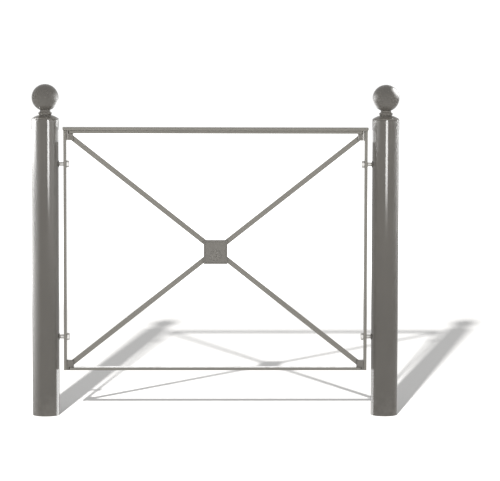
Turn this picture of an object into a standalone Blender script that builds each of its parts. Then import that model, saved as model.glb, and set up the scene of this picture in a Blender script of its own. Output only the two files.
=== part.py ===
"""Fixed garden barrier: two tube posts with ball finials, and a cross-braced panel bolted between them.

Frame: origin on the ground midway between the posts, +X along the barrier, +Y to its back, +Z up.
All lengths are in metres.
"""

import math

import bmesh
import bpy
from mathutils import Matrix, Vector

# Space left between two pieces that touch.
FIT = 0.0003

# Posts
POST_SPACING = 0.962
TUBE_DIAMETER = 0.0761
TUBE_WALL = 0.003
TUBE_HEIGHT = 0.8397
ROUND_STEPS = 48

# Domed cap on each post
CAP_RIM_HEIGHT = 0.002
DOME_RADIUS = 0.065
DOME_STEPS = 4
SEAT_RADIUS = 0.0185
CAP_HOLLOW_HEIGHT = 0.0015
SPIGOT_DEPTH = 0.020
SPIGOT_WALL = 0.003

# Ball finial
BALL_DIAMETER = 0.0758
BALL_CENTRE_HEIGHT = 0.901
BALL_STEPS = 14
FINIAL_STEPS = 32
COLLAR_FOOT_RADIUS = 0.0175
COLLAR_FOOT_HEIGHT = 0.0022
COLLAR_DISC_RADIUS = 0.019
COLLAR_DISC_HEIGHT = 0.0055
COLLAR_EDGE = 0.0008
NECK_RADIUS = 0.0143
STUD_DIAMETER = 0.012
STUD_GRIP = 0.020
STUD_CHAMFER = 0.001
STUD_TAIL = 0.003
CAP_NUT_FLATS = 0.018
CAP_NUT_HEIGHT = 0.0104

# Panel frame, of flat bars set on edge
PANEL_WIDTH = 0.859
PANEL_BOTTOM = 0.129
PANEL_TOP = 0.8087
FLAT_THICKNESS = 0.008
FLAT_DEPTH = 0.030
FLAT_EDGE = 0.001
HANDRAIL_LENGTH = 0.862
HANDRAIL_THICKNESS = 0.009
HANDRAIL_DEPTH = 0.040
HANDRAIL_EDGE = 0.0025

# Castings in the corners of the frame: a key between stile and rail end, and a pad inside the corner
CORNER_SIZE = 0.019
CORNER_KEY_WIDTH = 0.008
CORNER_DEPTH = 0.026
CORNER_EDGE = 0.0012

# Diagonals, of square bar
DIAGONAL_SECTION = 0.014

# Medallion round the crossing
MEDALLION_SIZE = 0.067
MEDALLION_HALF_DEPTH = 0.0135
MEDALLION_BORDER = 0.0045
MEDALLION_RECESS = 0.0015
MEDALLION_HEIGHT = 0.465
ROSETTE_RADIUS = 0.0165
ROSETTE_RELIEF = 0.0025
ROSETTE_DROP = 0.0095
ROSETTE_PETALS = 8
ROSETTE_LOBE = 0.14
ROSETTE_RINGS = 5

# Bolts and the threaded bosses that take them
FIXING_STEPS = 24
BOLT_HEIGHTS = (0.224, 0.714)
BOLT_DIAMETER = 0.012
BOLT_LENGTH = 0.040
BOLT_CHAMFER = 0.0012
HEAD_FLATS = 0.018
HEAD_HEIGHT = 0.0075
HEAD_CHAMFER = 0.0012
HEAD_FACE_SHARE = 0.94
HOLE_CLEARANCE = 0.0005
BOSS_DIAMETER = 0.019
BOSS_LENGTH = 0.016
BOSS_PROUD = 0.001
BOSS_CHAMFER = 0.0008

TUBE_RADIUS = TUBE_DIAMETER / 2
BALL_RADIUS = BALL_DIAMETER / 2
STUD_RADIUS = STUD_DIAMETER / 2
BOLT_RADIUS = BOLT_DIAMETER / 2
POST_X = POST_SPACING / 2
STILE_X = (PANEL_WIDTH - FLAT_THICKNESS) / 2
OPENING_HALF_WIDTH = PANEL_WIDTH / 2 - FLAT_THICKNESS
OPENING_BOTTOM = PANEL_BOTTOM + FLAT_THICKNESS
OPENING_TOP = PANEL_TOP - FLAT_THICKNESS
OPENING_CENTRE = (OPENING_BOTTOM + OPENING_TOP) / 2


# ---------------------------------------------------------------- materials


def finish(name, colour, roughness, metallic):
    """A plain Principled material."""
    material = bpy.data.materials.new(name)
    material.use_nodes = True
    shader = material.node_tree.nodes["Principled BSDF"]
    shader.inputs["Base Color"].default_value = (*colour, 1.0)
    shader.inputs["Roughness"].default_value = roughness
    shader.inputs["Metallic"].default_value = metallic
    return material


def grey_paint(piece):
    """Glossy warm grey paint over steel or cast iron."""
    return finish(piece + "_paint", (0.125, 0.118, 0.106), 0.22, 0.0)


def bright_steel(piece):
    """Bright stainless steel of the fixings."""
    return finish(piece + "_steel", (0.62, 0.61, 0.59), 0.28, 1.0)


# ---------------------------------------------------------------- shapes


def add_object(name, mesh, material, location=(0, 0, 0), rotation=(0, 0, 0), parent=None):
    """Puts a mesh into the scene as a named piece."""
    piece = bpy.data.objects.new(name, mesh)
    bpy.context.scene.collection.objects.link(piece)
    piece.location = location
    piece.rotation_euler = rotation
    piece.parent = parent
    if material is not None:
        mesh.materials.append(material)
    return piece


def shade_round(mesh, angle=35):
    """Smooth shading that keeps the edges sharper than the angle, in degrees."""
    mesh.shade_smooth()
    mesh.set_sharp_from_angle(angle=math.radians(angle))


def as_mesh(name, shape):
    """Closes a bmesh into a mesh with its faces pointing out."""
    bmesh.ops.recalc_face_normals(shape, faces=shape.faces)
    mesh = bpy.data.meshes.new(name)
    shape.to_mesh(mesh)
    shape.free()
    return mesh


def plain_reach(radius, angle):
    """Reach of a round piece: the same at every angle."""
    return radius


def hexagon_reach(radius, angle):
    """Reach of a hexagon whose inscribed circle has this radius."""
    sixth = math.pi / 3
    offset = (angle + sixth / 2) % sixth - sixth / 2
    return radius / math.cos(offset)


def turned(name, outline, steps=ROUND_STEPS):
    """Turns an outline round the Z axis.

    The outline is a list of (radius, height) or (radius, height, reach) points. It is closed on itself,
    or it starts and ends on the axis.
    """
    shape = bmesh.new()
    rings = []
    for radius, height, *rest in outline:
        reach = rest[0] if rest else plain_reach
        if radius < 1e-9:
            rings.append([shape.verts.new((0, 0, height))])
            continue
        ring = []
        for step in range(steps):
            angle = 2 * math.pi * step / steps
            far = reach(radius, angle)
            ring.append(shape.verts.new((far * math.cos(angle), far * math.sin(angle), height)))
        rings.append(ring)
    for first, second in zip(rings, rings[1:] + rings[:1]):
        if len(first) == 1 and len(second) == 1:
            continue
        for step in range(steps):
            after = (step + 1) % steps
            if len(first) == 1:
                corners = (first[0], second[step], second[after])
            elif len(second) == 1:
                corners = (first[step], first[after], second[0])
            else:
                corners = (first[step], first[after], second[after], second[step])
            shape.faces.new(corners)
    mesh = as_mesh(name, shape)
    shade_round(mesh)
    return mesh


def extruded(name, outline, length, bevel=0.0, bevel_steps=1):
    """Extrudes a closed outline in the XY plane by a length along Z, centred on the plane."""
    shape = bmesh.new()
    base = shape.faces.new([shape.verts.new((x, y, -length / 2)) for x, y in outline])
    grown = bmesh.ops.extrude_face_region(shape, geom=[base])
    moved = [item for item in grown["geom"] if isinstance(item, bmesh.types.BMVert)]
    bmesh.ops.translate(shape, verts=moved, vec=(0, 0, length))
    if bevel:
        bmesh.ops.recalc_face_normals(shape, faces=shape.faces)
        bmesh.ops.bevel(
            shape,
            geom=[edge for edge in shape.edges if edge.is_convex],
            offset=bevel,
            offset_type="OFFSET",
            segments=bevel_steps,
            profile=0.5,
            affect="EDGES",
            clamp_overlap=True,
        )
    return as_mesh(name, shape)


def rounded_rectangle(width, height, radius, steps=2):
    """Outline of a rectangle with round corners, centred on the origin."""
    outline = []
    for turn in range(4):
        centre_x = (width / 2 - radius) * (1 if turn in (0, 3) else -1)
        centre_y = (height / 2 - radius) * (1 if turn in (0, 1) else -1)
        for step in range(steps + 1):
            angle = math.pi / 2 * (turn + step / steps)
            outline.append((centre_x + radius * math.cos(angle), centre_y + radius * math.sin(angle)))
    return outline


def arc_points(centre_height, radius, first_radius, last_radius, steps):
    """Points of an upper circular arc round a centre on the axis, between two distances from the axis."""
    first = math.acos(first_radius / radius)
    last = math.acos(last_radius / radius)
    points = []
    for step in range(steps + 1):
        angle = first + (last - first) * step / steps
        points.append((radius * math.cos(angle), centre_height + radius * math.sin(angle)))
    return points


def cut(piece, cutter):
    """Cuts one object out of another, and keeps the cut live."""
    cutter.hide_render = True
    cutter.display_type = "WIRE"
    hole = piece.modifiers.new("cut_" + cutter.name, "BOOLEAN")
    hole.operation = "DIFFERENCE"
    hole.solver = "EXACT"
    hole.object = cutter


# ---------------------------------------------------------------- posts


def dome_height(radius):
    """Height of the cap's outer surface at a distance from its axis."""
    rim = TUBE_HEIGHT + FIT + CAP_RIM_HEIGHT
    drop = math.sqrt(DOME_RADIUS**2 - TUBE_RADIUS**2)
    return rim + math.sqrt(DOME_RADIUS**2 - radius**2) - drop


def bolt_bores(name, radius, length, parent, side):
    """Cutter made of one round bar on each bolt's axis, along X."""
    shape = bmesh.new()
    for height in BOLT_HEIGHTS:
        inner_wall = Matrix.Translation(Vector((-side * TUBE_RADIUS, 0, height)))
        placed = inner_wall @ Matrix.Rotation(math.pi / 2, 4, "Y")
        bmesh.ops.create_cone(
            shape,
            cap_ends=True,
            segments=FINIAL_STEPS,
            radius1=radius,
            radius2=radius,
            depth=length,
            matrix=placed,
        )
    return add_object(name, as_mesh(name, shape), None, parent=parent)


def build_tube(prefix, post, side):
    """Round tube, open at both ends, with a bore in its inner wall for each boss."""
    inner = TUBE_RADIUS - TUBE_WALL
    outline = [(TUBE_RADIUS, 0), (TUBE_RADIUS, TUBE_HEIGHT), (inner, TUBE_HEIGHT), (inner, 0)]
    name = prefix + "_post_tube"
    tube = add_object(name, turned(name, outline), grey_paint(name), parent=post)
    bores = bolt_bores(prefix + "_boss_bores", BOSS_DIAMETER / 2 + FIT, TUBE_RADIUS, post, side)
    cut(tube, bores)


def build_cap(prefix, post):
    """Domed cap with a flat seat for the collar, a bore for the stud and a spigot inside the tube."""
    rim = TUBE_HEIGHT + FIT
    seat = dome_height(SEAT_RADIUS)
    under = rim + CAP_RIM_HEIGHT + CAP_HOLLOW_HEIGHT
    spigot = TUBE_RADIUS - TUBE_WALL - FIT
    bore = STUD_RADIUS + FIT
    arc_centre = dome_height(0) - DOME_RADIUS
    outline = [(TUBE_RADIUS, rim)]
    outline += arc_points(arc_centre, DOME_RADIUS, TUBE_RADIUS, SEAT_RADIUS, DOME_STEPS)
    outline += [(bore, seat), (bore, under), (spigot - SPIGOT_WALL, under)]
    outline += [(spigot - SPIGOT_WALL, rim - SPIGOT_DEPTH), (spigot, rim - SPIGOT_DEPTH), (spigot, rim)]
    name = prefix + "_post_cap"
    add_object(name, turned(name, outline), grey_paint(name), parent=post)


def build_finial(prefix, post):
    """Collar, ball, the stud that joins them to the cap, and its nut."""
    bore = STUD_RADIUS + FIT
    seat = dome_height(SEAT_RADIUS)
    foot = seat + FIT
    disc = foot + COLLAR_FOOT_HEIGHT
    disc_top = disc + COLLAR_DISC_HEIGHT
    cup_radius = BALL_RADIUS + FIT

    def cup_height(radius):
        return BALL_CENTRE_HEIGHT - math.sqrt(cup_radius**2 - radius**2)

    outline = [(bore, foot), (COLLAR_FOOT_RADIUS, foot), (COLLAR_FOOT_RADIUS, disc)]
    outline += [(COLLAR_DISC_RADIUS - COLLAR_EDGE, disc), (COLLAR_DISC_RADIUS, disc + COLLAR_EDGE)]
    outline += [(COLLAR_DISC_RADIUS, disc_top - COLLAR_EDGE), (COLLAR_DISC_RADIUS - COLLAR_EDGE, disc_top)]
    neck = cup_height(NECK_RADIUS)
    for step in range(1, 4):
        angle = math.pi / 2 * step / 3
        reach = COLLAR_DISC_RADIUS - COLLAR_EDGE - NECK_RADIUS
        height = disc_top + (neck - disc_top) * (1 - math.cos(angle))
        outline.append((NECK_RADIUS + reach * (1 - math.sin(angle)), height))
    for step in range(1, 3):
        radius = NECK_RADIUS + (bore - NECK_RADIUS) * step / 2
        outline.append((radius, cup_height(radius)))
    name = prefix + "_finial_collar"
    add_object(name, turned(name, outline, FINIAL_STEPS), grey_paint(name), parent=post)

    blind = BALL_CENTRE_HEIGHT - BALL_RADIUS + STUD_GRIP
    outline = [(0, BALL_CENTRE_HEIGHT + BALL_RADIUS)]
    lowest = math.asin(bore / BALL_RADIUS)
    for step in range(1, BALL_STEPS + 1):
        angle = (math.pi - lowest) * step / BALL_STEPS
        outline.append((BALL_RADIUS * math.sin(angle), BALL_CENTRE_HEIGHT + BALL_RADIUS * math.cos(angle)))
    outline += [(bore, blind), (0, blind)]
    name = prefix + "_finial_ball"
    add_object(name, turned(name, outline, FINIAL_STEPS), grey_paint(name), parent=post)

    under = TUBE_HEIGHT + FIT + CAP_RIM_HEIGHT + CAP_HOLLOW_HEIGHT
    top = blind - FIT
    bottom = under - FIT - CAP_NUT_HEIGHT - STUD_TAIL
    tip = STUD_RADIUS - STUD_CHAMFER
    outline = [(0, top), (tip, top), (STUD_RADIUS, top - STUD_CHAMFER)]
    outline += [(STUD_RADIUS, bottom + STUD_CHAMFER), (tip, bottom), (0, bottom)]
    name = prefix + "_finial_stud"
    add_object(name, turned(name, outline, FIXING_STEPS), bright_steel(name), parent=post)

    flats = CAP_NUT_FLATS / 2
    outline = [(bore, under - FIT), (flats, under - FIT, hexagon_reach)]
    outline += [(flats, under - FIT - CAP_NUT_HEIGHT, hexagon_reach), (bore, under - FIT - CAP_NUT_HEIGHT)]
    name = prefix + "_cap_nut"
    add_object(name, turned(name, outline, FIXING_STEPS), bright_steel(name), parent=post)


def build_post(prefix, side):
    """One post with its cap and finial, standing at x = side * POST_X."""
    post = bpy.data.objects.new(prefix + "_post", None)
    bpy.context.scene.collection.objects.link(post)
    post.location = (side * POST_X, 0, 0)
    build_tube(prefix, post, side)
    build_cap(prefix, post)
    build_finial(prefix, post)
    return post


# ---------------------------------------------------------------- panel


def build_stile(prefix, side, panel):
    """Upright flat bar of the frame, with a hole for each bolt."""
    name = prefix + "_stile"
    section = rounded_rectangle(FLAT_THICKNESS, FLAT_DEPTH, FLAT_EDGE)
    height = PANEL_TOP - PANEL_BOTTOM
    mesh = extruded(name, section, height)
    middle = (PANEL_TOP + PANEL_BOTTOM) / 2
    stile = add_object(name, mesh, grey_paint(name), location=(side * STILE_X, 0, middle), parent=panel)
    shape = bmesh.new()
    for bolt in BOLT_HEIGHTS:
        middle_of_bar = Matrix.Translation(Vector((side * STILE_X, 0, bolt)))
        placed = middle_of_bar @ Matrix.Rotation(math.pi / 2, 4, "Y")
        bmesh.ops.create_cone(
            shape,
            cap_ends=True,
            segments=FIXING_STEPS,
            radius1=BOLT_RADIUS + HOLE_CLEARANCE,
            radius2=BOLT_RADIUS + HOLE_CLEARANCE,
            depth=3 * FLAT_THICKNESS,
            matrix=placed,
        )
    bores = add_object(prefix + "_stile_bores", as_mesh(prefix + "_stile_bores", shape), None, parent=panel)
    cut(stile, bores)


def build_rails(panel):
    """Upper and lower flat bars between the keys of the corner castings, and the handrail on top."""
    length = 2 * (OPENING_HALF_WIDTH - CORNER_KEY_WIDTH - 2 * FIT)
    along_x = (0, math.pi / 2, 0)
    section = rounded_rectangle(FLAT_THICKNESS, FLAT_DEPTH, FLAT_EDGE)
    for name, height in (
        ("top_rail", PANEL_TOP - FLAT_THICKNESS / 2),
        ("bottom_rail", PANEL_BOTTOM + FLAT_THICKNESS / 2),
    ):
        add_object(
            name,
            extruded(name, section, length),
            grey_paint(name),
            location=(0, 0, height),
            rotation=along_x,
            parent=panel,
        )
    section = rounded_rectangle(HANDRAIL_THICKNESS, HANDRAIL_DEPTH, HANDRAIL_EDGE, 4)
    mesh = extruded("handrail", section, HANDRAIL_LENGTH)
    shade_round(mesh)
    add_object(
        "handrail",
        mesh,
        grey_paint("handrail"),
        location=(0, 0, PANEL_TOP + FIT + HANDRAIL_THICKNESS / 2),
        rotation=along_x,
        parent=panel,
    )


def build_corner(name, side, level, panel):
    """Corner casting: a key between stile and rail end, and a pad inside the corner."""
    full = CORNER_SIZE + FIT + FLAT_THICKNESS
    outline = [
        (0, 0),
        (CORNER_SIZE, 0),
        (CORNER_SIZE, CORNER_SIZE),
        (CORNER_KEY_WIDTH, CORNER_SIZE),
        (CORNER_KEY_WIDTH, full),
        (0, full),
    ]
    corner_x = OPENING_HALF_WIDTH - FIT
    inner_edge = OPENING_TOP if level > 0 else OPENING_BOTTOM
    start = inner_edge - level * (CORNER_SIZE + FIT)
    placed = [(side * (corner_x - across), start + level * up) for across, up in outline]
    mesh = extruded(name, placed, CORNER_DEPTH, CORNER_EDGE)
    add_object(name, mesh, grey_paint(name), rotation=(math.pi / 2, 0, 0), parent=panel)


def diagonal_outline(side, level, start_on_axis, start_skew):
    """Outline, in X and Z, of a diagonal from near the crossing out to one corner casting.

    The far end is cut to fit round the casting's inner corner. start_on_axis is the distance from the
    crossing to the near end, and start_skew turns that end from square towards the other diagonal.
    """
    reach = Vector((OPENING_HALF_WIDTH, (OPENING_TOP - OPENING_BOTTOM) / 2))
    along = reach.normalized()
    across = Vector((-along.y, along.x))
    half = DIAGONAL_SECTION / 2
    pad_x = OPENING_HALF_WIDTH - CORNER_SIZE - 2 * FIT
    pad_z = reach.y - CORNER_SIZE - 2 * FIT
    upper = across * half
    lower = -across * half
    upper_far = upper + along * ((pad_x - upper.x) / along.x)
    lower_far = lower + along * ((pad_z - lower.y) / along.y)
    near_upper = upper + along * (start_on_axis - start_skew * half)
    near_lower = lower + along * (start_on_axis + start_skew * half)
    points = [near_lower, lower_far, Vector((pad_x, pad_z)), upper_far, near_upper]
    return [(side * point.x, OPENING_CENTRE + level * point.y) for point in points]


def build_diagonals(panel):
    """One diagonal runs through, and the other is two halves that meet its sides."""
    upright = (math.pi / 2, 0, 0)
    down_right = diagonal_outline(1, -1, 0, 0)[1:4]
    up_left = diagonal_outline(-1, 1, 0, 0)[1:4]
    mesh = extruded("diagonal_through", down_right + up_left, DIAGONAL_SECTION)
    add_object("diagonal_through", mesh, grey_paint("diagonal_through"), rotation=upright, parent=panel)

    slope = math.atan2((OPENING_TOP - OPENING_BOTTOM) / 2, OPENING_HALF_WIDTH)
    start = (DIAGONAL_SECTION / 2 + FIT) / math.sin(2 * slope)
    skew = 1 / math.tan(2 * slope)
    for name, side, level in (("diagonal_upper_right", 1, 1), ("diagonal_lower_left", -1, -1)):
        outline = diagonal_outline(side, level, start, skew)
        mesh = extruded(name, outline, DIAGONAL_SECTION)
        add_object(name, mesh, grey_paint(name), rotation=upright, parent=panel)
    return slope


def build_medallion(slope, panel):
    """Two cast halves clamped round the crossing, each with a raised border and a rosette."""
    cutters = []
    for name, turn in (("crossing_through", slope), ("crossing_halves", -slope)):
        shape = bmesh.new()
        thick = DIAGONAL_SECTION + 2 * FIT
        size = Matrix.Diagonal(Vector((3 * MEDALLION_SIZE, thick, thick, 1)))
        turned_bar = Matrix.Rotation(turn, 4, "Y")
        centre = Matrix.Translation(Vector((0, 0, OPENING_CENTRE)))
        bmesh.ops.create_cube(shape, size=1, matrix=centre @ turned_bar @ size)
        cutters.append(add_object(name, as_mesh(name, shape), None, parent=panel))

    for word, facing in (("front", -1), ("back", 1)):
        name = "medallion_" + word
        shape = bmesh.new()
        inner = FIT / 2
        depth = MEDALLION_HALF_DEPTH - inner
        size = Matrix.Diagonal(Vector((MEDALLION_SIZE, depth, MEDALLION_SIZE, 1)))
        middle = Matrix.Translation(Vector((0, facing * (inner + depth / 2), MEDALLION_HEIGHT)))
        bmesh.ops.create_cube(shape, size=1, matrix=middle @ size)
        shape.normal_update()
        outer = [face for face in shape.faces if face.normal.y * facing > 0.9]
        bmesh.ops.inset_region(shape, faces=outer, thickness=MEDALLION_BORDER, depth=0)
        bmesh.ops.translate(shape, verts=outer[0].verts, vec=(0, -facing * MEDALLION_RECESS, 0))
        half = add_object(name, as_mesh(name, shape), grey_paint(name), parent=panel)
        for cutter in cutters:
            cut(half, cutter)
        build_rosette("rosette_" + word, facing, panel)


def build_rosette(name, facing, panel):
    """Low rosette with a lobed edge and a round boss, on a flat base."""
    shape = bmesh.new()
    steps = ROSETTE_PETALS * 4
    base = MEDALLION_HALF_DEPTH - MEDALLION_RECESS + FIT
    rings = []
    for ring in range(ROSETTE_RINGS + 1):
        share = 1 - ring / (ROSETTE_RINGS + 1)
        points = []
        for step in range(steps):
            angle = 2 * math.pi * step / steps
            lobe = 1 + ROSETTE_LOBE * share * math.cos(ROSETTE_PETALS * angle)
            reach = ROSETTE_RADIUS / (1 + ROSETTE_LOBE) * share * lobe
            relief = relief_height(share, angle)
            points.append((reach * math.cos(angle), reach * math.sin(angle), relief))
        rings.append(points)
    sides = []
    for points in rings:
        sides.append([shape.verts.new((x, facing * (base + y), z)) for x, z, y in points])
    floor = [shape.verts.new((x, facing * base, z)) for x, z, _ in rings[0]]
    centre = shape.verts.new((0, facing * (base + relief_height(0, 0)), 0))
    for first, second in zip([floor] + sides, sides):
        for step in range(steps):
            after = (step + 1) % steps
            shape.faces.new((first[step], first[after], second[after], second[step]))
    for step in range(steps):
        shape.faces.new((sides[-1][step], sides[-1][(step + 1) % steps], centre))
    shape.faces.new(floor)
    mesh = as_mesh(name, shape)
    shade_round(mesh, 50)
    add_object(name, mesh, grey_paint(name), location=(0, 0, MEDALLION_HEIGHT - ROSETTE_DROP), parent=panel)


def relief_height(share, angle):
    """Height of the rosette over its base, at a share of its radius and an angle."""
    petals = 0.5 + 0.5 * math.cos(ROSETTE_PETALS * angle)
    if share > 0.3:
        swell = math.sin(math.pi * (share - 0.3) / 0.7)
        return ROSETTE_RELIEF * (0.3 + 0.45 * swell * (0.35 + 0.65 * petals))
    return ROSETTE_RELIEF * (0.3 + 0.7 * math.cos(math.pi / 2 * share / 0.3))


# ---------------------------------------------------------------- fixings


def build_fixing(prefix, side, height):
    """Hexagon bolt through a stile, and the threaded boss in the post that takes it."""
    name = prefix + "_bolt"
    tip = BOLT_RADIUS - BOLT_CHAMFER
    flats = HEAD_FLATS / 2
    outline = [(0, -HEAD_HEIGHT), (HEAD_FACE_SHARE * flats, -HEAD_HEIGHT)]
    outline += [(flats, -HEAD_HEIGHT + HEAD_CHAMFER, hexagon_reach), (flats, 0, hexagon_reach)]
    outline += [(BOLT_RADIUS, 0), (BOLT_RADIUS, BOLT_LENGTH - BOLT_CHAMFER)]
    outline += [(tip, BOLT_LENGTH), (0, BOLT_LENGTH)]
    outward = (0, side * math.pi / 2, 0)
    under_head = side * (OPENING_HALF_WIDTH - FIT)
    mesh = turned(name, outline, FIXING_STEPS)
    add_object(name, mesh, bright_steel(name), location=(under_head, 0, height), rotation=outward)

    name = prefix + "_boss"
    bore = BOLT_RADIUS + FIT
    reach = BOSS_DIAMETER / 2
    outline = [(bore, 0), (reach - BOSS_CHAMFER, 0), (reach, BOSS_CHAMFER)]
    outline += [(reach, BOSS_LENGTH), (bore, BOSS_LENGTH)]
    face = side * (POST_X - TUBE_RADIUS - BOSS_PROUD)
    mesh = turned(name, outline, FIXING_STEPS)
    add_object(name, mesh, grey_paint(name), location=(face, 0, height), rotation=outward)


# ---------------------------------------------------------------- assembly


def main():
    """Clears the scene and builds the barrier."""
    for old in list(bpy.data.objects):
        bpy.data.objects.remove(old, do_unlink=True)

    panel = bpy.data.objects.new("panel", None)
    bpy.context.scene.collection.objects.link(panel)
    for prefix, side in (("left", -1), ("right", 1)):
        build_post(prefix, side)
        build_stile(prefix, side, panel)
        for level, height in zip(("lower", "upper"), BOLT_HEIGHTS):
            build_fixing(prefix + "_" + level, side, height)
        build_corner(prefix + "_upper_corner", side, 1, panel)
        build_corner(prefix + "_lower_corner", side, -1, panel)
    build_rails(panel)
    slope = build_diagonals(panel)
    build_medallion(slope, panel)


main()
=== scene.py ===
"""Finished look of a fixed garden barrier: a cross-braced panel bolted between two ball-topped posts.

Each sub-assembly is a class that holds its sizes in metres, builds its pieces round the places of the frame,
and dresses them in their finishes. +X runs along the barrier, +Y points to its back and +Z up.
"""

import logging
import math
from dataclasses import dataclass, field
from enum import Enum
from typing import Callable, Sequence

import bmesh
import bpy
from mathutils import Matrix, Vector


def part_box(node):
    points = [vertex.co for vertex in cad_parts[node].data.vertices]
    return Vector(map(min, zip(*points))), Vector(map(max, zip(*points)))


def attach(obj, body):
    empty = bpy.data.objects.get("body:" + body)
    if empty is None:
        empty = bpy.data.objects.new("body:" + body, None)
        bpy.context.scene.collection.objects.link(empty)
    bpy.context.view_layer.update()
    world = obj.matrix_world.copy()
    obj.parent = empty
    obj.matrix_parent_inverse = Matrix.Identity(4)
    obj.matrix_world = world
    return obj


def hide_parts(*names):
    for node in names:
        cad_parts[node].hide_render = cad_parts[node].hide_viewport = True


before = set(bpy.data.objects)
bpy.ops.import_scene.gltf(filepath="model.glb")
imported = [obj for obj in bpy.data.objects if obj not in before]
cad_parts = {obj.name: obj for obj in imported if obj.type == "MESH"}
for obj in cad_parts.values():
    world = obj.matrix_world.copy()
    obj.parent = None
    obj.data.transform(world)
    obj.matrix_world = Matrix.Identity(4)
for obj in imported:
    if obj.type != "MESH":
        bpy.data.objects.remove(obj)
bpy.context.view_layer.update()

LOG = logging.getLogger("barrier")
BODY = "root"
FIT = 0.0003

Colour = tuple[float, float, float]
Corner = tuple[float, float, float]
Solid = bmesh.types.BMesh
Edge = bmesh.types.BMEdge
Socket = bpy.types.NodeSocket


class Place(Enum):
    """Where a piece sits."""

    @property
    def word(self) -> str:
        """The place, as it stands in the names of pieces."""
        return self.name.lower()


class Side(Place):
    """Which end of the barrier a piece belongs to."""

    LEFT = -1
    RIGHT = 1


class Level(Place):
    """Whether a piece sits at the top or the bottom of the panel."""

    LOWER = -1
    UPPER = 1


class Facing(Place):
    """Which face of the panel a piece looks out from."""

    FRONT = -1
    BACK = 1


class Carving(Enum):
    """How a tool shapes a solid."""

    REMOVE = "DIFFERENCE"
    JOIN = "UNION"
    KEEP_SHARED = "INTERSECT"


# ------------------------------------------------------------------ finishes


class Wiring:
    """Node tree, with short ways to add and join its nodes."""

    def __init__(self, tree: bpy.types.NodeTree) -> None:
        """Takes up a node tree."""
        self.tree = tree

    def add(self, kind: str, **settings: object) -> bpy.types.Node:
        """Adds a node.

        Args:
            kind: type of the node.
            settings: its properties.

        Returns:
            The node.
        """
        node = self.tree.nodes.new(kind)
        for key, value in settings.items():
            setattr(node, key, value)
        return node

    def join(self, source: Socket, target: Socket) -> None:
        """Joins an output to an input."""
        self.tree.links.new(source, target)

    def spread(self, value: Socket, low: float, high: float, first: float = 0.3, last: float = 0.7,
               curve: str = "LINEAR") -> Socket:
        """Stretches a value to a new range.

        Args:
            value: the value to stretch.
            low: result at the first value.
            high: result at the last value.
            first: value that gives the low result.
            last: value that gives the high result.
            curve: how the result runs between them.

        Returns:
            The stretched value.
        """
        node = self.add("ShaderNodeMapRange", interpolation_type=curve)
        node.inputs["From Min"].default_value = first
        node.inputs["From Max"].default_value = last
        node.inputs["To Min"].default_value = low
        node.inputs["To Max"].default_value = high
        self.join(value, node.inputs["Value"])
        return node.outputs["Result"]

    def product(self, first: Socket, second: Socket) -> Socket:
        """Multiplies two values.

        Args:
            first: one of them.
            second: the other.

        Returns:
            Their product.
        """
        node = self.add("ShaderNodeMath", operation="MULTIPLY")
        self.join(first, node.inputs[0])
        self.join(second, node.inputs[1])
        return node.outputs["Value"]


class Bench(Wiring):
    """Node tree of one material, with the patterns that finishes are made of."""

    def __init__(self, name: str) -> None:
        """Starts a material with a Principled shader.

        Args:
            name: name of the material.
        """
        self.material = bpy.data.materials.new(name)
        self.material.use_nodes = True
        super().__init__(self.material.node_tree)
        self.shader = self.tree.nodes["Principled BSDF"]
        self.place = self.add("ShaderNodeTexCoord").outputs["Object"]

    def along(self, axis: str) -> Socket:
        """Measures where the surface lies along an axis.

        Args:
            axis: name of the axis.

        Returns:
            The distance from the origin.
        """
        split = self.add("ShaderNodeSeparateXYZ")
        self.join(self.place, split.inputs["Vector"])
        return split.outputs[axis]

    def grain(self, scale: float, detail: float = 2.0, stretch: Colour = (1, 1, 1)) -> Socket:
        """Soft irregular pattern in space.

        Args:
            scale: how many features there are in a metre.
            detail: how many finer layers it has.
            stretch: how much denser it is along each axis.

        Returns:
            The pattern's value, from 0 to 1.
        """
        turned = self.add("ShaderNodeMapping")
        turned.inputs["Scale"].default_value = stretch
        self.join(self.place, turned.inputs["Vector"])
        noise = self.add("ShaderNodeTexNoise")
        noise.inputs["Scale"].default_value = scale
        noise.inputs["Detail"].default_value = detail
        self.join(turned.outputs["Vector"], noise.inputs["Vector"])
        return noise.outputs["Fac"]

    def blend(self, share: Socket, first: object, second: object) -> Socket:
        """Blends two colours.

        Args:
            share: how much of the second colour shows.
            first: a colour, or an output that gives one.
            second: a colour, or an output that gives one.

        Returns:
            The blended colour.
        """
        node = self.add("ShaderNodeMix", data_type="RGBA")
        self.join(share, node.inputs["Factor"])
        for side, colour in (("A", first), ("B", second)):
            socket = next(item for item in node.inputs if item.name == side and item.type == "RGBA")
            if isinstance(colour, tuple):
                socket.default_value = (*colour, 1.0)
            else:
                self.join(colour, socket)
        return next(item for item in node.outputs if item.type == "RGBA")

    def relief(self, height: Socket, depth: float, under: Socket | None = None) -> Socket:
        """Raises a pattern on the surface.

        Args:
            height: the pattern, from 0 to 1.
            depth: its real height in metres.
            under: normal of the relief that it lies on, if any.

        Returns:
            The normal.
        """
        node = self.add("ShaderNodeBump")
        node.inputs["Strength"].default_value = 1.0
        node.inputs["Distance"].default_value = depth
        self.join(height, node.inputs["Height"])
        if under is not None:
            self.join(under, node.inputs["Normal"])
        return node.outputs["Normal"]


def shade(colour: Colour, factor: float) -> Colour:
    """A lighter or darker shade of a colour."""
    return tuple(min(1.0, part * factor) for part in colour)


@dataclass(frozen=True)
class Finish:
    """What pieces are dressed in, and the name of the slot that it belongs to."""

    name: str
    slot: str
    colour: Colour

    def material(self) -> bpy.types.Material:
        """Makes the material, once.

        Returns:
            The material.
        """
        if self.name in bpy.data.materials:
            return bpy.data.materials[self.name]
        bench = Bench(self.name)
        self.mix(bench)
        return bench.material

    def mix(self, bench: Bench) -> None:
        """Sets up the nodes of the material."""
        raise NotImplementedError


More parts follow.
